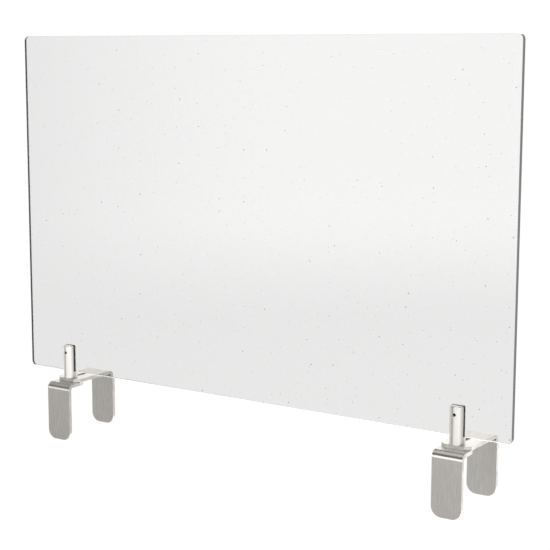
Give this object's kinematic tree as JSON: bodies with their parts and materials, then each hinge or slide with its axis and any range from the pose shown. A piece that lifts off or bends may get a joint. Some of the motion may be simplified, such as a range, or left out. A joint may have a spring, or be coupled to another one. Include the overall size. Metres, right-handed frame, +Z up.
{
  "type": "desk privacy panel",
  "caption": "Clear acrylic privacy screen held in slotted posts on saddle clamps that grip the top of a low partition.",
  "frame": {"origin": "midway between the two clamps, in the sheet's middle plane, on the plane that rests on the partition", "axes": "+X along the sheet, -Y to the front (the set-screw side), +Z up"},
  "size_m": [0.7366, 0.0955, 0.5501],
  "materials": {
    "clear_sheet": "clear, polished, flame-bright edges",
    "brushed_steel": "brushed along the strip",
    "satin_post": "fine turned, satin",
    "dark_screw": "black oxide",
    "nylon_tip": "natural nylon",
    "plated_screw": "zinc plated"
  },
  "bodies": {
    "clamps": {"left_front_bracket": "brushed_steel", "left_post": "satin_post", "right_front_bracket": "brushed_steel", "right_post": "satin_post"},
    "panel": {"clear_panel": "clear_sheet"},
    "left_rear_jaw": {"left_rear_bracket": "brushed_steel"},
    "left_grub_tip": {"left_set_screw_tip": "nylon_tip"},
    "left_grub": {"left_set_screw": "dark_screw"},
    "left_clamp_bolt": {"left_clamp_screw": "plated_screw"},
    "right_rear_jaw": {"right_rear_bracket": "brushed_steel"},
    "right_grub_tip": {"right_set_screw_tip": "nylon_tip"},
    "right_grub": {"right_set_screw": "dark_screw"},
    "right_clamp_bolt": {"right_clamp_screw": "plated_screw"}
  },
  "joints": [
    {"name": "panel_lift", "type": "slide", "parent": "clamps", "child": "panel", "axis": [0, 0, 1], "range_m": [0, 0.045]},
    {"name": "left_clamp_slide", "type": "slide", "parent": "clamps", "child": "left_rear_jaw", "axis": [0, -1, 0], "range_m": [0, 0.0275]},
    {"name": "left_clamp_bolt_turn", "type": "hinge", "parent": "clamps", "child": "left_clamp_bolt", "pos_m": [-0.299, 0, 0.008], "axis": [0, 0, -1], "range_deg": [0, 360]},
    {"name": "left_grub_feed", "type": "slide", "parent": "clamps", "child": "left_grub_tip", "axis": [0, -1, 0], "range_m": [0, 0.0021]},
    {"name": "left_grub_turn", "type": "hinge", "parent": "left_grub_tip", "child": "left_grub", "pos_m": [-0.299, -0.006, 0.04552], "axis": [0, -1, 0], "range_deg": [0, 1081]},
    {"name": "right_clamp_slide", "type": "slide", "parent": "clamps", "child": "right_rear_jaw", "axis": [0, -1, 0], "range_m": [0, 0.0275]},
    {"name": "right_clamp_bolt_turn", "type": "hinge", "parent": "clamps", "child": "right_clamp_bolt", "pos_m": [0.299, 0, 0.008], "axis": [0, 0, -1], "range_deg": [0, 360]},
    {"name": "right_grub_feed", "type": "slide", "parent": "clamps", "child": "right_grub_tip", "axis": [0, -1, 0], "range_m": [0, 0.0021]},
    {"name": "right_grub_turn", "type": "hinge", "parent": "right_grub_tip", "child": "right_grub", "pos_m": [0.299, -0.006, 0.04552], "axis": [0, -1, 0], "range_deg": [0, 1081]}
  ],
  "couplings": [
    {"joint": "left_grub_turn", "follows": "left_grub_feed", "rad_per_m": 8976},
    {"joint": "right_grub_turn", "follows": "right_grub_feed", "rad_per_m": 8976}
  ]
}
